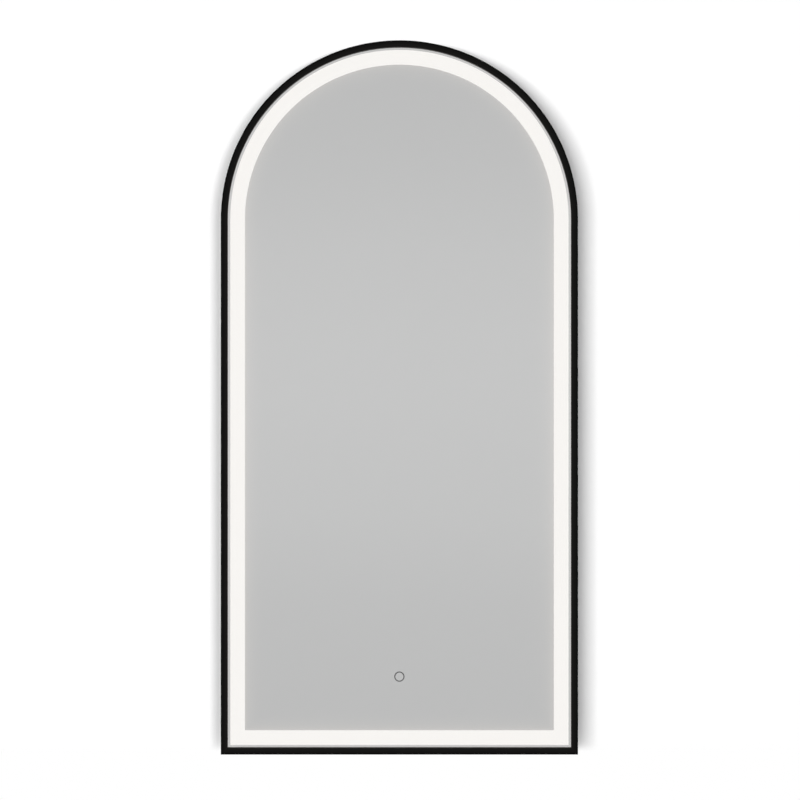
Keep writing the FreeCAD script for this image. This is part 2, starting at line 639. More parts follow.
def led_row_arch():
    """LEDs at an even pitch up the left leg, round the arch and down the right leg."""
    radius = WIDTH / 2 - TAPE_FACE
    leg = SPRING_HEIGHT - TAPE_FACE - LED_CORNER_GAP
    bow = math.pi * radius
    count = int((2 * leg + bow) / LED_PITCH)
    first = (2 * leg + bow - count * LED_PITCH) / 2
    leds = []
    for i in range(count + 1):
        run = first + i * LED_PITCH
        if run < leg:
            leds.append(led(-radius, SPRING_HEIGHT - leg + run, 0))
        elif run > leg + bow:
            leds.append(led(radius, SPRING_HEIGHT - (run - leg - bow), 180))
        else:
            angle = (run - leg) / radius
            seat = math.sqrt(radius**2 - (LED_LENGTH / 2) ** 2)
            x, height = -seat * math.cos(angle), SPRING_HEIGHT + seat * math.sin(angle)
            leds.append(led(x, height, math.degrees(angle)))
    return Part.makeCompound(leds)


def led_row_bottom():
    """LEDs along the bottom tape, left out under the feed connector."""
    reach = WIDTH / 2 - TAPE_FACE - LED_CORNER_GAP
    count = int(2 * reach / LED_PITCH)
    first = -count * LED_PITCH / 2
    places = [first + i * LED_PITCH for i in range(count + 1)]
    feed, keep_off = tape_feed()[0], (CONNECTOR_ARM + LED_LENGTH) / 2
    return Part.makeCompound([led(x, TAPE_FACE, 270) for x in places if abs(x - feed) > keep_off])


def corner_jumper(side):
    """Moulded L that joins the bottom tape to the arch's tape in one corner."""
    low, high, arm = TAPE_FACE, TAPE_FACE + CONNECTOR_THICK, TAPE_FACE + CONNECTOR_ARM
    outline = [(low, low), (arm, low), (arm, high), (high, high), (high, arm), (low, arm)]
    corners = [(side * (WIDTH / 2 - inset), height) for inset, height in outline]
    return slab(corners, TAPE_MIDDLE - CONNECTOR_WIDTH / 2, TAPE_MIDDLE + CONNECTOR_WIDTH / 2)


def feed_connector():
    """The low-voltage lead's connector, clipped on the bottom tape."""
    x, half = tape_feed()[0], CONNECTOR_ARM / 2
    back, front = TAPE_MIDDLE - CONNECTOR_WIDTH / 2, TAPE_MIDDLE + CONNECTOR_WIDTH / 2
    return block(x - half, x + half, TAPE_FACE, TAPE_FACE + CONNECTOR_THICK, back, front)


# ---- Back pan and its fasteners -------------------------------------------------------------------
def box_places():
    """The rivets of the wiring box's flange."""
    x, height = BOX_LENGTH / 2 + BOX_FLANGE / 2, BOX_WIDTH / 2 + BOX_FLANGE / 2
    return [(sx * x, BOX_HEIGHT + sh * height) for sx in (-1, 1) for sh in (-1, 1)]


def cover_places():
    """The screws of the service cover, in the wiring box's corner posts."""
    x, height = BOX_LENGTH / 2 - COVER_SCREW_INSET, BOX_WIDTH / 2 - COVER_SCREW_INSET
    return [(sx * x, BOX_HEIGHT + sh * height) for sx in (-1, 1) for sh in (-1, 1)]


def driver_places():
    """The screws in the driver's two ears."""
    x = (DRIVER_LENGTH + DRIVER_EAR) / 2
    return [(-x, DRIVER_MIDDLE), (x, DRIVER_MIDDLE)]


def rivet_places():
    """The rivets of the hanger rail."""
    height = hanger_flange_low() + HANGER_FLANGE / 2
    return [((i - (HANGER_RIVETS - 1) / 2) * HANGER_RIVET_PITCH, height) for i in range(HANGER_RIVETS)]


def vent_slots():
    """Two stacks of slots beside the driver, each slot with round ends."""
    slots = []
    for side in (-1, 1):
        for i in range(VENT_COUNT):
            height = DRIVER_MIDDLE + (i - (VENT_COUNT - 1) / 2) * VENT_PITCH
            middle, half = side * VENT_X, VENT_LENGTH / 2 - VENT_WIDTH / 2
            slot = block(middle - half, middle + half, height - VENT_WIDTH / 2, height + VENT_WIDTH / 2,
                         RECESS_DEPTH, PAN_FRONT)
            ends = [bar(middle + e, height, RECESS_DEPTH, PAN_FRONT, VENT_WIDTH / 2) for e in (-half, half)]
            slots.append(slot.fuse(ends))
    return Part.makeCompound(slots)


def back_pan():
    """Pressed steel sheet with a swage round it, vents, fastener holes and the service opening."""
    pan = arch_plate(OUTER_WALL + PAN_EDGE_GAP, RECESS_DEPTH, PAN_FRONT)
    inner = SWAGE_INSET + SWAGE_WIDTH
    rise = arch_ring(SWAGE_INSET, inner, PAN_FRONT, PAN_FRONT + SWAGE_DEPTH, SWAGE_CORNER)
    groove = arch_ring(SWAGE_INSET + PAN_THICK, inner - PAN_THICK, RECESS_DEPTH, RECESS_DEPTH + SWAGE_DEPTH,
                       SWAGE_CORNER - PAN_THICK)
    pan = pan.fuse(rise).cut(groove)
    perimeter = perimeter_places(SCREW_INSET, LEG_SCREWS, ARCH_SCREWS, BOTTOM_SCREWS)
    holes = [(place, PAN_SCREW_RADIUS) for place in perimeter]
    holes += [(place, RIVET_RADIUS) for place in box_places() + rivet_places()]
    holes += [(place, DRIVER_SCREW_RADIUS) for place in driver_places()]
    holes += [((EARTH_X, EARTH_GATE), EARTH_RADIUS)]
    cuts = [bar(*place, RECESS_DEPTH, PAN_FRONT, radius + FIT) for place, radius in holes]
    opening = rounded_block(BOX_LENGTH - 2 * BOX_WALL, BOX_WIDTH - 2 * BOX_WALL, (0, BOX_HEIGHT),
                            BOX_CORNER, RECESS_DEPTH, PAN_FRONT)
    return pan.cut(Part.makeCompound(cuts + [opening, vent_slots()]))


def rear_screw(place, seat, length, radius, head_radius, head):
    """A screw driven from behind: its head stands back from seat, and its plain shank runs forwards."""
    profile = [
        (0, seat + length),
        (radius, seat + length),
        (radius, seat),
        (head_radius, seat),
        (head_radius, seat - HEAD_RIM * head),
        (HEAD_TOP * head_radius, seat - head),
        (0, seat - head),
    ]
    return turned(profile, place)


def pan_screws():
    """The self-tapping screws that hold the pan to the frame's web."""
    places = perimeter_places(SCREW_INSET, LEG_SCREWS, ARCH_SCREWS, BOTTOM_SCREWS)
    sizes = (RECESS_DEPTH, PAN_SCREW_LENGTH, PAN_SCREW_RADIUS, PAN_SCREW_HEAD_RADIUS, PAN_SCREW_HEAD)
    return Part.makeCompound([rear_screw(place, *sizes) for place in places])


def blind_rivet(place, head_seat, tail_seat):
    """A blind rivet: a head behind head_seat and an upset tail in front of tail_seat."""
    profile = [
        (0, tail_seat + RIVET_HEAD),
        (RIVET_TAIL_RADIUS, tail_seat + RIVET_HEAD),
        (RIVET_TAIL_RADIUS, tail_seat),
        (RIVET_RADIUS, tail_seat),
        (RIVET_RADIUS, head_seat),
        (RIVET_HEAD_RADIUS, head_seat),
        (HEAD_TOP * RIVET_HEAD_RADIUS, head_seat - RIVET_HEAD),
        (0, head_seat - RIVET_HEAD),
    ]
    return turned(profile, place)


# ---- Rails and bumpers ----------------------------------------------------------------------------
def hook_top():
    """Height of the wall rail's upper edge, on which the hanger rail hangs."""
    return HANG_HEIGHT + RAIL_FLANGE + RAIL_STEP + RAIL_LIP


def hanger_flange_low():
    """Height of the lower edge of the hanger rail's flange."""
    return hook_top()


def rail(length, profile):
    """A straight rail whose section is given as (stand-off, height) corners."""
    points = [at(-length / 2, height, standoff) for standoff, height in profile]
    face = Part.Face(Part.makePolygon(points + points[:1]))
    return face.extrude(FreeCAD.Vector(length, 0, 0))


def wall_rail():
    """Z-section rail on the wall: a flange with the two wall screws, a step and an upstanding lip."""
    lip_front = RECESS_DEPTH - RAIL_THICK - HOOK_CLEARANCE / 2
    lip_back = lip_front - RAIL_THICK
    step_low = HANG_HEIGHT + RAIL_FLANGE
    profile = [
        (0, HANG_HEIGHT - RAIL_FLANGE),
        (RAIL_THICK, HANG_HEIGHT - RAIL_FLANGE),
        (RAIL_THICK, step_low),
        (lip_front, step_low),
        (lip_front, hook_top()),
        (lip_back, hook_top()),
        (lip_back, step_low + RAIL_STEP),
        (0, step_low + RAIL_STEP),
    ]
    holes = [bar(x, HANG_HEIGHT, 0, RAIL_THICK, WALL_SCREW_HOLE) for x in wall_screw_x()]
    return rail(WALL_RAIL_LENGTH, profile).cut(Part.makeCompound(holes))


def wall_screw_x():
    """The x of each wall screw."""
    return (-WALL_SCREW_SPACING / 2, WALL_SCREW_SPACING / 2)


def hanger_rail():
    """The same section upside down on the pan: its lip drops behind the wall rail's lip."""
    wall_lip_back = RECESS_DEPTH - 2 * RAIL_THICK - HOOK_CLEARANCE / 2
    lip_front = wall_lip_back - HOOK_CLEARANCE
    lip_back = lip_front - RAIL_THICK
    top, low = hook_top(), hanger_flange_low()
    profile = [
        (RECESS_DEPTH, low),
        (RECESS_DEPTH, low + HANGER_FLANGE),
        (RECESS_DEPTH - RAIL_THICK, low + HANGER_FLANGE),
        (RECESS_DEPTH - RAIL_THICK, low + RAIL_STEP),
        (lip_back, low + RAIL_STEP),
        (lip_back, top - HOOK_ENGAGE),
        (lip_front, top - HOOK_ENGAGE),
        (lip_front, low),
    ]
    holes = [bar(*p, RECESS_DEPTH - RAIL_THICK, RECESS_DEPTH, RIVET_RADIUS + FIT) for p in rivet_places()]
    return rail(HANGER_RAIL_LENGTH, profile).cut(Part.makeCompound(holes))


def hanger_rivets():
    """Blind rivets through the hanger rail and the pan."""
    seat = RECESS_DEPTH - RAIL_THICK
    return Part.makeCompound([blind_rivet(place, seat, PAN_FRONT) for place in rivet_places()])


def wall_bumper(side):
    """Rubber foot on the pan that holds the lower end off the wall."""
    profile = [
        (0, 0),
        (BUMPER_TIP, 0),
        (BUMPER_RADIUS, BUMPER_TAPER),
        (BUMPER_RADIUS, RECESS_DEPTH),
        (0, RECESS_DEPTH),
    ]
    return turned(profile, (side * (WIDTH / 2 - BUMPER_INSET), BUMPER_HEIGHT))


# ---- Wiring box -----------------------------------------------------------------------------------
def supply_gate():
    """Height at which the supply lead leaves the wiring box on the left."""
    return BOX_HEIGHT - BOX_WIDTH / 4


def wiring_box():
    """Moulded box behind the service opening: open to the rear, with a flange on the pan and posts."""
    middle, floor = (0, BOX_HEIGHT), BOX_FLOOR
    shell = rounded_block(BOX_LENGTH, BOX_WIDTH, middle, BOX_CORNER, PAN_FRONT, BOX_FRONT)
    hollow = rounded_block(BOX_LENGTH - 2 * BOX_WALL, BOX_WIDTH - 2 * BOX_WALL, middle,
                           BOX_CORNER - BOX_WALL, PAN_FRONT, floor)
    flange = rounded_block(BOX_LENGTH + 2 * BOX_FLANGE, BOX_WIDTH + 2 * BOX_FLANGE, middle, BOX_CORNER,
                           PAN_FRONT, PAN_FRONT + BOX_FLANGE_THICK)
    box = shell.fuse(flange).cut(hollow)
    post = COVER_SCREW_INSET - BOX_WALL + COVER_SCREW_RADIUS
    posts = [bar(*place, PAN_FRONT, floor, post).common(shell) for place in cover_places()]
    posts += [bar(x, CLAMP_AXIS, CLAMP_SEAT, floor, CLAMP_POST / 2) for x in clamp_screw_x()]
    box = box.fuse(posts)
    pilots = [bar(*place, PAN_FRONT, RECESS_DEPTH + COVER_SCREW_LENGTH, COVER_SCREW_RADIUS + FIT)
              for place in cover_places()]
    pilots += [bar(*place, PAN_FRONT, PAN_FRONT + BOX_FLANGE_THICK, RIVET_RADIUS + FIT)
               for place in box_places()]
    pilots += [bar(x, CLAMP_AXIS, CLAMP_SEAT, CLAMP_SEAT + CLAMP_SCREW_BITE + FIT, CLAMP_SCREW_RADIUS + FIT)
               for x in clamp_screw_x()]
    along = FreeCAD.Vector(-1, 0, 0)
    wall, inside = BOX_WALL + 2 * OVERCUT, OVERCUT - BOX_LENGTH / 2 + BOX_WALL
    supply = at(inside, supply_gate(), LEAD_LEVEL)
    earth = at(inside, EARTH_GATE, EARTH_LEVEL)
    pilots.append(Part.makeCylinder(SUPPLY_LEAD_RADIUS + LEAD_HOLE_GAP, wall, supply, along))
    pilots.append(Part.makeCylinder(EARTH_LEAD_RADIUS + LEAD_HOLE_GAP, wall, earth, along))
    return box.cut(Part.makeCompound(pilots))


def box_rivets():
    """Blind rivets through the pan and the wiring box's flange."""
    tail = PAN_FRONT + BOX_FLANGE_THICK
    return Part.makeCompound([blind_rivet(place, RECESS_DEPTH, tail) for place in box_places()])


def service_cover():
    """Steel plate over the service opening, with the grommet's hole."""
    length, width = BOX_LENGTH + 2 * COVER_LAP, BOX_WIDTH + 2 * COVER_LAP
    back = RECESS_DEPTH - COVER_THICK
    plate = rounded_block(length, width, (0, BOX_HEIGHT), BOX_CORNER, back, RECESS_DEPTH)
    cuts = [bar(*place, back, RECESS_DEPTH, COVER_SCREW_RADIUS + FIT) for place in cover_places()]
    cuts += [bar(*place, back, RECESS_DEPTH, RIVET_HEAD_RADIUS + 4 * FIT) for place in box_places()]
    cuts.append(bar(GROMMET_X, BOX_HEIGHT, back, RECESS_DEPTH, GROMMET_NECK))
    return plate.cut(Part.makeCompound(cuts))


def service_cover_screws():
    """The cover's screws, in the wiring box's posts."""
    seat = RECESS_DEPTH - COVER_THICK
    sizes = (seat, COVER_SCREW_LENGTH, COVER_SCREW_RADIUS, COVER_SCREW_HEAD_RADIUS, COVER_SCREW_HEAD)
    return Part.makeCompound([rear_screw(place, *sizes) for place in cover_places()])


def cable_grommet():
    """Rubber ring in the cover, through which the house's supply cable comes in."""
    back, front = RECESS_DEPTH - COVER_THICK, RECESS_DEPTH
    profile = [
        (CABLE_BORE, back - GROMMET_LIP_THICK),
        (GROMMET_RIM, back - GROMMET_LIP_THICK),
        (GROMMET_FLANGE, back),
        (GROMMET_NECK, back),
        (GROMMET_NECK, front),
        (GROMMET_FLANGE, front),
        (GROMMET_RIM, front + GROMMET_LIP_THICK),
        (CABLE_BORE, front + GROMMET_LIP_THICK),
    ]
    return turned(profile, (GROMMET_X, BOX_HEIGHT))


def terminal_places():
    """The middle of each way of the terminal block, as (x, height)."""
    first = BOX_HEIGHT - (TERMINAL_WAYS - 1) * TERMINAL_PITCH / 2
    return [(TERMINAL_X, first + i * TERMINAL_PITCH) for i in range(TERMINAL_WAYS)]


def terminal_block():
    """Moulded three-way terminal block: a wire tunnel through each way and two screw wells to the rear."""
    front = BOX_FLOOR
    back, spread = front - TERMINAL_DEPTH, TERMINAL_WIDTH / 4
    half = TERMINAL_PITCH / 2
    body = None
    for x, height in terminal_places():
        reach = 2 * spread - TERMINAL_STEP_LONG
        foot = block(x - 2 * spread, x + 2 * spread, height - half, height + half,
                     back + TERMINAL_STEP, front)
        tower = block(x - reach, x + reach, height - half + TERMINAL_STEP_SIDE,
                      height + half - TERMINAL_STEP_SIDE, back, front)
        way = foot.fuse(tower)
        body = way if body is None else body.fuse(way)
    cuts = []
    for x, height in terminal_places():
        start = at(x - 2 * spread, height, TERMINAL_LEVEL)
        cuts.append(Part.makeCylinder(TERMINAL_WIRE_HOLE, 4 * spread, start, FreeCAD.Vector(1, 0, 0)))
        for shift in (-spread, spread):
            cuts.append(bar(x + shift, height, back, TERMINAL_LEVEL, TERMINAL_SCREW_RADIUS + FIT))
    return body.cut(Part.makeCompound(cuts))


def terminal_screws():
    """Clamping screws in the terminal block's wells."""
    back, spread = BOX_FLOOR - TERMINAL_DEPTH, TERMINAL_WIDTH / 4
    screws = []
    for x, height in terminal_places():
        for shift in (-spread, spread):
            screws.append(bar(x + shift, height, back + TERMINAL_SCREW_SINK, TERMINAL_LEVEL,
                              TERMINAL_SCREW_RADIUS))
    return Part.makeCompound(screws)


def clamp_screw_x():
    """The x of the cord clamp's two screws."""
    half = CLAMP_LENGTH / 2 - CLAMP_POST / 2
    return (CLAMP_X - half, CLAMP_X + half)


def cord_clamp():
    """Arched bridge that grips the supply cable inside the wiring box."""
    x0, x1 = CLAMP_X - CLAMP_LENGTH / 2, CLAMP_X + CLAMP_LENGTH / 2
    low, high = CLAMP_AXIS - CLAMP_WIDTH / 2, CLAMP_AXIS + CLAMP_WIDTH / 2
    strap = block(x0, x1, low, high, CLAMP_SEAT - CLAMP_THICK, CLAMP_SEAT)
    saddle = Part.makeCylinder(CABLE_BORE, CLAMP_WIDTH, at(CLAMP_X, low, CLAMP_SEAT + CLAMP_SADDLE),
                               FreeCAD.Vector(0, 0, 1))
    holes = [bar(x, CLAMP_AXIS, CLAMP_SEAT - CLAMP_THICK, CLAMP_SEAT, CLAMP_SCREW_RADIUS + FIT)
             for x in clamp_screw_x()]
    return strap.cut(Part.makeCompound(holes + [saddle]))


def cord_clamp_screws():
    """The two screws of the cord clamp."""
    length = CLAMP_THICK + CLAMP_SCREW_BITE
    seat = CLAMP_SEAT - CLAMP_THICK
    sizes = (seat, length, CLAMP_SCREW_RADIUS, CLAMP_SCREW_HEAD_RADIUS, CLAMP_SCREW_HEAD)
    return Part.makeCompound([rear_screw((x, CLAMP_AXIS), *sizes) for x in clamp_screw_x()])


# ---- Driver ---------------------------------------------------------------------------------------
def driver_base():
    """Moulded tray of the driver, with an ear at each end and posts under the board."""
    middle, split = (0, DRIVER_MIDDLE), LEAD_LEVEL
    shell = rounded_block(DRIVER_LENGTH, DRIVER_WIDTH, middle, DRIVER_CORNER, PAN_FRONT, split)
    hollow = rounded_block(DRIVER_LENGTH - 2 * DRIVER_WALL, DRIVER_WIDTH - 2 * DRIVER_WALL, middle,
                           DRIVER_CORNER - DRIVER_WALL, PAN_FRONT + DRIVER_WALL, split)
    ears = rounded_block(DRIVER_LENGTH + 2 * DRIVER_EAR, DRIVER_EAR_WIDTH, middle, DRIVER_CORNER,
                         PAN_FRONT, PAN_FRONT + DRIVER_EAR_THICK)
    base = shell.fuse(ears).cut(hollow)
    floor, seat = PAN_FRONT + DRIVER_WALL, PAN_FRONT + DRIVER_WALL + DRIVER_BOARD_LIFT
    x, height = DRIVER_LENGTH / 2 - DRIVER_POST_INSET, DRIVER_WIDTH / 2 - DRIVER_POST_INSET
    posts = [bar(sx * x, DRIVER_MIDDLE + sh * height, floor, seat, DRIVER_POST_RADIUS)
             for sx in (-1, 1) for sh in (-1, 1)]
    base = base.fuse(posts)
    holes = [bar(*place, PAN_FRONT, PAN_FRONT + DRIVER_EAR_THICK, DRIVER_SCREW_RADIUS + FIT)
             for place in driver_places()]
    return base.cut(Part.makeCompound(holes + driver_gates()))


def driver_gates():
    """The lead holes in the driver's two ends, half in the base and half in the cover."""
    along = FreeCAD.Vector(1, 0, 0)
    gates = []
    for side, radius in ((-1, SUPPLY_LEAD_RADIUS), (1, LOW_LEAD_RADIUS)):
        middle = side * (DRIVER_LENGTH / 2 - DRIVER_WALL / 2)
        start = at(middle - DRIVER_WALL, DRIVER_GATE, LEAD_LEVEL)
        gates.append(Part.makeCylinder(radius + LEAD_HOLE_GAP, 2 * DRIVER_WALL, start, along))
    return gates


def driver_cover():
    """Cover of the driver, with shallow cooling ribs across it."""
    middle, split, front = (0, DRIVER_MIDDLE), LEAD_LEVEL, PAN_FRONT + DRIVER_HEIGHT
    shell = rounded_block(DRIVER_LENGTH, DRIVER_WIDTH, middle, DRIVER_CORNER, split, front)
    hollow = rounded_block(DRIVER_LENGTH - 2 * DRIVER_WALL, DRIVER_WIDTH - 2 * DRIVER_WALL, middle,
                           DRIVER_CORNER - DRIVER_WALL, split, front - DRIVER_WALL)
    cover = shell.cut(hollow)
    pitch = (DRIVER_LENGTH - 2 * DRIVER_EAR) / DRIVER_RIBS
    reach, half = DRIVER_WIDTH / 2 - DRIVER_RIB_MARGIN, (1 - DRIVER_RIB_SHARE) * pitch / 2
    grooves = []
    for i in range(DRIVER_RIBS):
        x = (i - (DRIVER_RIBS - 1) / 2) * pitch
        grooves.append(block(x - half, x + half, DRIVER_MIDDLE - reach, DRIVER_MIDDLE + reach,
                             front - DRIVER_WALL / 2, front))
    return cover.cut(Part.makeCompound(grooves + driver_gates()))


def driver_board():
    """The driver's circuit board on its posts."""
    gap = DRIVER_WALL + DRIVER_BOARD_GAP
    x, width = DRIVER_LENGTH / 2 - gap, DRIVER_WIDTH / 2 - gap
    seat = PAN_FRONT + DRIVER_WALL + DRIVER_BOARD_LIFT
    return block(-x, x, DRIVER_MIDDLE - width, DRIVER_MIDDLE + width, seat, seat + DRIVER_BOARD_THICK)


def driver_components():
    """Transformer, smoothing capacitors, choke and the two wire terminals on the board."""
    seat = PAN_FRONT + DRIVER_WALL + DRIVER_BOARD_LIFT + DRIVER_BOARD_THICK
    top = PAN_FRONT + DRIVER_HEIGHT - DRIVER_WALL - COMPONENT_GAP
    low, high = DRIVER_MIDDLE - TRANSFORMER_WIDTH / 2, DRIVER_MIDDLE + TRANSFORMER_WIDTH / 2
    core = block(-TRANSFORMER_CORE / 2, TRANSFORMER_CORE / 2, low, high, seat, top)
    coil = block(-TRANSFORMER_LENGTH / 2, TRANSFORMER_LENGTH / 2, DRIVER_MIDDLE - TRANSFORMER_COIL / 2,
                 DRIVER_MIDDLE + TRANSFORMER_COIL / 2, seat, top)
    parts = [core.fuse(coil)]
    for i in range(CAPACITORS):
        x = -TRANSFORMER_LENGTH - i * CAPACITOR_PITCH
        parts.append(bar(x, DRIVER_MIDDLE, seat, top, CAPACITOR_RADIUS))
    parts.append(bar(TRANSFORMER_LENGTH, DRIVER_MIDDLE, seat, top, CHOKE_RADIUS))
    end, half = DRIVER_LENGTH / 2 - DRIVER_WALL - DRIVER_BOARD_GAP, DRIVER_TERMINAL_LENGTH / 2
    for x in (-end, end - DRIVER_TERMINAL_LENGTH):
        parts.append(block(x, x + DRIVER_TERMINAL_LENGTH, DRIVER_GATE - half, DRIVER_GATE + half, seat, top))
    return Part.makeCompound(parts)


def driver_screws():
    """Screws from behind the pan into the driver's ears."""
    length = PAN_THICK + DRIVER_EAR_THICK + DRIVER_SCREW_TAIL
    sizes = (RECESS_DEPTH, length, DRIVER_SCREW_RADIUS, DRIVER_SCREW_HEAD_RADIUS, PAN_SCREW_HEAD)
    return Part.makeCompound([rear_screw(place, *sizes) for place in driver_places()])


# ---- Touch sensor ---------------------------------------------------------------------------------
def sensor_case():
    """Moulded case stuck to the coat behind the key, open to the rear."""
    middle, floor = (0, KEY_HEIGHT), COAT_BACK - SENSOR_WALL
    back = SENSOR_BACK + SENSOR_COVER_THICK
    shell = rounded_block(SENSOR_LENGTH, SENSOR_WIDTH, middle, SENSOR_CORNER, back, COAT_BACK)
    hollow = rounded_block(SENSOR_LENGTH - 2 * SENSOR_WALL, SENSOR_WIDTH - 2 * SENSOR_WALL, middle,
                           SENSOR_CORNER - SENSOR_WALL, back, floor)
    window = bar(0, KEY_HEIGHT, floor, COAT_BACK, KEY_RING_DIAMETER / 2 + KEY_RING_LINE + FIT)
    case = shell.cut(hollow).cut(window)
    x, height = SENSOR_LENGTH / 2 - SENSOR_POST_INSET, SENSOR_WIDTH / 2 - SENSOR_POST_INSET
    posts = [bar(sx * x, KEY_HEIGHT + sh * height, SENSOR_BOARD_FRONT, floor, SENSOR_POST_RADIUS)
             for sx in (-1, 1) for sh in (-1, 1)]
    along, wall = FreeCAD.Vector(1, 0, 0), 2 * SENSOR_WALL
    gates = []
    for side in (-1, 1):
        start = at(side * (SENSOR_LENGTH - SENSOR_WALL) / 2 - wall / 2, KEY_HEIGHT, SENSOR_LEVEL)
        gates.append(Part.makeCylinder(LOW_LEAD_RADIUS + LEAD_HOLE_GAP, wall, start, along))
    return case.fuse(posts).cut(Part.makeCompound(gates))


def sensor_cover():
    """Snap-in lid of the sensor case."""
    middle, step = (0, KEY_HEIGHT), SENSOR_BACK + SENSOR_COVER_THICK
    lid = rounded_block(SENSOR_LENGTH, SENSOR_WIDTH, middle, SENSOR_CORNER, SENSOR_BACK, step)
    inner, rim = 2 * SENSOR_WALL + 2 * FIT, 2 * SENSOR_LID_RIM
    top, corner = step + SENSOR_LID_PLUG, SENSOR_CORNER - SENSOR_WALL
    plug = rounded_block(SENSOR_LENGTH - inner, SENSOR_WIDTH - inner, middle, corner, step, top)
    core = rounded_block(SENSOR_LENGTH - inner - rim, SENSOR_WIDTH - inner - rim, middle, corner, step, top)
    return lid.fuse(plug.cut(core))


def sensor_board():
    """The sensor's circuit board, under the case's posts, with a plug at each end and the touch chip."""
    gap = SENSOR_WALL + SENSOR_BOARD_GAP
    x, width = SENSOR_LENGTH / 2 - gap, SENSOR_WIDTH / 2 - gap
    back, front = SENSOR_BOARD_SEAT, SENSOR_BOARD_FRONT
    board = block(-x, x, KEY_HEIGHT - width, KEY_HEIGHT + width, back, front)
    far, near = x - SENSOR_PLUG_SETBACK, x - SENSOR_PLUG_SETBACK - SENSOR_PLUG_LENGTH
    top, half = SENSOR_LEVEL + LOW_LEAD_RADIUS, 2 * LOW_LEAD_RADIUS
    plugs = [block(min(side * near, side * far), max(side * near, side * far), KEY_HEIGHT - half,
                   KEY_HEIGHT + half, front, top) for side in (-1, 1)]
    low = KEY_HEIGHT - width + SENSOR_BOARD_GAP
    chip = block(-TOUCH_CHIP / 2, TOUCH_CHIP / 2, low, low + TOUCH_CHIP, front, front + TOUCH_CHIP_THICK)
    return board.fuse(plugs + [chip])


def touch_electrode():
    """Copper foil inside the ring, which feels the finger through the glass, and its stem to the board."""
    radius = (KEY_RING_DIAMETER - KEY_RING_LINE) / 2 - FIT
    foil = bar(0, KEY_HEIGHT, COAT_BACK - ELECTRODE_THICK, COAT_BACK, radius)
    stem = bar(0, KEY_HEIGHT, SENSOR_BOARD_FRONT, COAT_BACK - ELECTRODE_THICK, ELECTRODE_STEM)
    return foil.fuse(stem)


def key_ring():
    """Grey translucent ring behind the stripped circle, carried by the sensor case's window."""
    inner = (KEY_RING_DIAMETER - KEY_RING_LINE) / 2
    outer = KEY_RING_DIAMETER / 2 + KEY_RING_LINE
    ring = bar(0, KEY_HEIGHT, COAT_BACK - KEY_RING_THICK, COAT_BACK, outer)
    return ring.cut(bar(0, KEY_HEIGHT, COAT_BACK - KEY_RING_THICK, COAT_BACK, inner))


# ---- Leads, earth and pads ------------------------------------------------------------------------
def sheath_end():
    """The x at which the supply lead's sheath ends inside the wiring box."""
    return TERMINAL_X - TERMINAL_WIDTH / 2 - TERMINAL_GAP


def supply_route():
    """The supply lead's corners: out of the wiring box, down beside the driver and into its left end."""
    gate, left = supply_gate(), -DRIVER_LENGTH / 2 - LEAD_OUT
    return [
        at(sheath_end(), gate, LEAD_LEVEL),
        at(left, gate, LEAD_LEVEL),
        at(left, DRIVER_GATE, LEAD_LEVEL),
        at(-DRIVER_LENGTH / 2 + DRIVER_WALL + DRIVER_BOARD_GAP, DRIVER_GATE, LEAD_LEVEL),
    ]


def core_wires():
    """The supply lead's two cores, from its sheath into the terminal block."""
    block_end = TERMINAL_X - TERMINAL_WIDTH / 2
    wires = []
    for shift, (_, height) in zip((-CORE_SPREAD, CORE_SPREAD), terminal_places()):
        route = [
            at(sheath_end(), supply_gate() + shift, LEAD_LEVEL),
            at(sheath_end() + TERMINAL_GAP / 4, supply_gate() + shift, LEAD_LEVEL),
            at(block_end - TERMINAL_GAP / 4, height, TERMINAL_LEVEL),
            at(block_end + CORE_GRIP, height, TERMINAL_LEVEL),
        ]
        wires.append(lead(route, CORE_RADIUS))
    return Part.makeCompound(wires)


def output_route():
    """The low-voltage lead's corners: from the driver's right end down to the touch sensor."""
    right = DRIVER_LENGTH / 2 + LEAD_OUT
    return [
        at(DRIVER_LENGTH / 2 - DRIVER_WALL - DRIVER_BOARD_GAP, DRIVER_GATE, LEAD_LEVEL),
        at(right, DRIVER_GATE, LEAD_LEVEL),
        at(right, (DRIVER_GATE + KEY_HEIGHT) / 2, LEAD_LEVEL),
        at(right, KEY_HEIGHT, SENSOR_LEVEL),
        at(sensor_plug(), KEY_HEIGHT, SENSOR_LEVEL),
    ]


def sensor_plug():
    """The x of the outer face of the plug at the sensor board's right end."""
    return SENSOR_LENGTH / 2 - SENSOR_WALL - SENSOR_BOARD_GAP - SENSOR_PLUG_SETBACK


def tape_route():
    """From the touch sensor through the tray's wall to the feed connector on the bottom tape."""
    x, height = tape_feed()
    return [
        at(-sensor_plug(), KEY_HEIGHT, SENSOR_LEVEL),
        at(x, KEY_HEIGHT, SENSOR_LEVEL),
        at(x, TRAY_WALL_INSET + LEAD_STRAIGHT, TAPE_MIDDLE),
        at(x, height + CONNECTOR_THICK / 2, TAPE_MIDDLE),
    ]


def earth_route():
    """From the terminal block through the wiring box's wall to the earth stud on the pan."""
    barrel = EARTH_X + EARTH_TAG_RADIUS
    level, block_end = PAN_FRONT + EARTH_LEAD_RADIUS + EARTH_BARREL_WALL, TERMINAL_X - TERMINAL_WIDTH / 2
    return [
        at(block_end + CORE_GRIP, EARTH_GATE, TERMINAL_LEVEL),
        at(block_end - TERMINAL_GAP / 4, EARTH_GATE, TERMINAL_LEVEL),
        at(-BOX_LENGTH / 2 + BOX_WALL + TERMINAL_GAP / 4, EARTH_GATE, EARTH_LEVEL),
        at(-BOX_LENGTH / 2 - BOX_FLANGE, EARTH_GATE, EARTH_LEVEL),
        at(barrel + EARTH_BARREL_LENGTH, EARTH_GATE, level),
        at(barrel, EARTH_GATE, level),
    ]


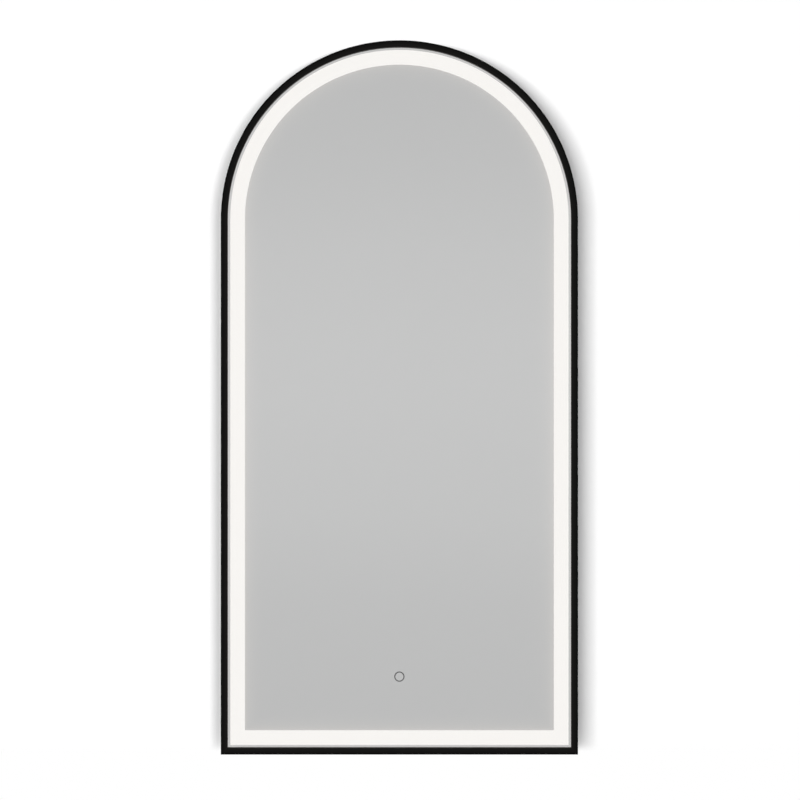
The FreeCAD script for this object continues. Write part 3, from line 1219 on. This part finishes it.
def lead(route, radius):
    """A lead along its route."""
    return tube_along(route, radius, 2 * radius * LEAD_BEND)


def earth_lead():
    """The earth wire with its crimped ring tag."""
    wire = lead(earth_route(), EARTH_LEAD_RADIUS)
    front, outer = PAN_FRONT + EARTH_TAG_THICK, EARTH_LEAD_RADIUS + EARTH_BARREL_WALL
    start = EARTH_X + EARTH_TAG_RADIUS
    eye = bar(EARTH_X, EARTH_GATE, PAN_FRONT, front, EARTH_TAG_RADIUS)
    tongue = block(EARTH_X, start + EARTH_BARREL_LENGTH / 4, EARTH_GATE - outer, EARTH_GATE + outer,
                   PAN_FRONT, front)
    along = FreeCAD.Vector(1, 0, 0)
    barrel = Part.makeCylinder(outer, EARTH_BARREL_LENGTH, at(start, EARTH_GATE, PAN_FRONT + outer), along)
    hole = bar(EARTH_X, EARTH_GATE, PAN_FRONT, front, EARTH_RADIUS + FIT)
    return wire.fuse([eye, tongue, barrel]).cut(hole)


def earth_stud():
    """Screw through the pan, head to the rear, that bonds the pan to earth."""
    sizes = (RECESS_DEPTH, EARTH_STUD_LENGTH, EARTH_RADIUS, EARTH_HEAD_RADIUS, PAN_SCREW_HEAD)
    return rear_screw((EARTH_X, EARTH_GATE), *sizes)


def earth_nut():
    """Hexagon nut on the earth stud."""
    back = PAN_FRONT + EARTH_TAG_THICK
    body = hexagon((EARTH_X, EARTH_GATE), EARTH_NUT_FLATS / math.sqrt(3), back, back + EARTH_NUT_THICK)
    return body.cut(bar(EARTH_X, EARTH_GATE, back, back + EARTH_NUT_THICK, EARTH_RADIUS + FIT))


def lead_clip(x, height, level, radius):
    """A saddle glued to the pan, with a lead running up and down through it."""
    outer = radius + CLIP_WALL
    foot = block(x - outer - CLIP_BASE, x + outer + CLIP_BASE, height - CLIP_LENGTH / 2,
                 height + CLIP_LENGTH / 2, PAN_FRONT, PAN_FRONT + CLIP_WALL)
    start, along = at(x, height - CLIP_LENGTH / 2, level), FreeCAD.Vector(0, 0, 1)
    hump = Part.makeCylinder(outer, CLIP_LENGTH, start, along)
    cheeks = block(x - outer, x + outer, height - CLIP_LENGTH / 2, height + CLIP_LENGTH / 2, PAN_FRONT, level)
    bore = Part.makeCylinder(radius + FIT, CLIP_LENGTH, start, along)
    return foot.fuse([hump, cheeks]).cut(bore)


def lead_clips():
    """The clips of the supply lead on the left and of the low-voltage lead on the right."""
    left, right = -DRIVER_LENGTH / 2 - LEAD_OUT, DRIVER_LENGTH / 2 + LEAD_OUT
    clips = [
        lead_clip(left, (supply_gate() + DRIVER_GATE) / 2, LEAD_LEVEL, SUPPLY_LEAD_RADIUS),
        lead_clip(right, (3 * DRIVER_GATE + KEY_HEIGHT) / 4, LEAD_LEVEL, LOW_LEAD_RADIUS),
    ]
    return Part.makeCompound(clips)


def support_pads():
    """Foam pads that keep the glass from drumming against the pan."""
    pads = []
    for row in range(PAD_ROWS):
        height = HEIGHT - PAD_TOP_GAP - row * PAD_PITCH
        for x in (-PAD_X, PAD_X):
            pads.append(rounded_block(PAD_SIZE, PAD_SIZE, (x, height), PAD_CORNER, PAN_FRONT, FILM_BACK))
    return Part.makeCompound(pads)


# ---- Build ----------------------------------------------------------------------------------------
PIECES = {
    "wall_rail": wall_rail,
    "frame_arch": frame_arch,
    "frame_bottom": frame_bottom,
    "corner_grub_screws": corner_grub_screws,
    "mirror_glass": mirror_glass,
    "silver_coat": silver_coat,
    "safety_film": safety_film,
    "glass_gasket": glass_gasket,
    "diffuser": diffuser,
    "reflector_tray": reflector_tray,
    "led_tape_arch": led_tape_arch,
    "led_tape_bottom": led_tape_bottom,
    "led_row_arch": led_row_arch,
    "led_row_bottom": led_row_bottom,
    "feed_connector": feed_connector,
    "back_pan": back_pan,
    "pan_screws": pan_screws,
    "hanger_rail": hanger_rail,
    "hanger_rivets": hanger_rivets,
    "wiring_box": wiring_box,
    "box_rivets": box_rivets,
    "service_cover": service_cover,
    "service_cover_screws": service_cover_screws,
    "cable_grommet": cable_grommet,
    "terminal_block": terminal_block,
    "terminal_screws": terminal_screws,
    "cord_clamp": cord_clamp,
    "cord_clamp_screws": cord_clamp_screws,
    "driver_base": driver_base,
    "driver_cover": driver_cover,
    "driver_board": driver_board,
    "driver_components": driver_components,
    "driver_screws": driver_screws,
    "sensor_case": sensor_case,
    "sensor_cover": sensor_cover,
    "sensor_board": sensor_board,
    "touch_electrode": touch_electrode,
    "key_ring": key_ring,
    "core_wires": core_wires,
    "supply_lead": lambda: lead(supply_route(), SUPPLY_LEAD_RADIUS),
    "output_lead": lambda: lead(output_route(), LOW_LEAD_RADIUS),
    "tape_lead": lambda: lead(tape_route(), LOW_LEAD_RADIUS),
    "earth_lead": earth_lead,
    "earth_stud": earth_stud,
    "earth_nut": earth_nut,
    "lead_clips": lead_clips,
    "support_pads": support_pads,
}
PAIRS = {
    "corner_key": corner_key,
    "setting_block": setting_block,
    "corner_jumper": corner_jumper,
    "wall_bumper": wall_bumper,
}

os.makedirs("parts", exist_ok=True)
for name, make in PIECES.items():
    make().exportStep(f"parts/{name}.step")
for name, make in PAIRS.items():
    for side, word in ((-1, "left"), (1, "right")):
        make(side).exportStep(f"parts/{name}_{word}.step")
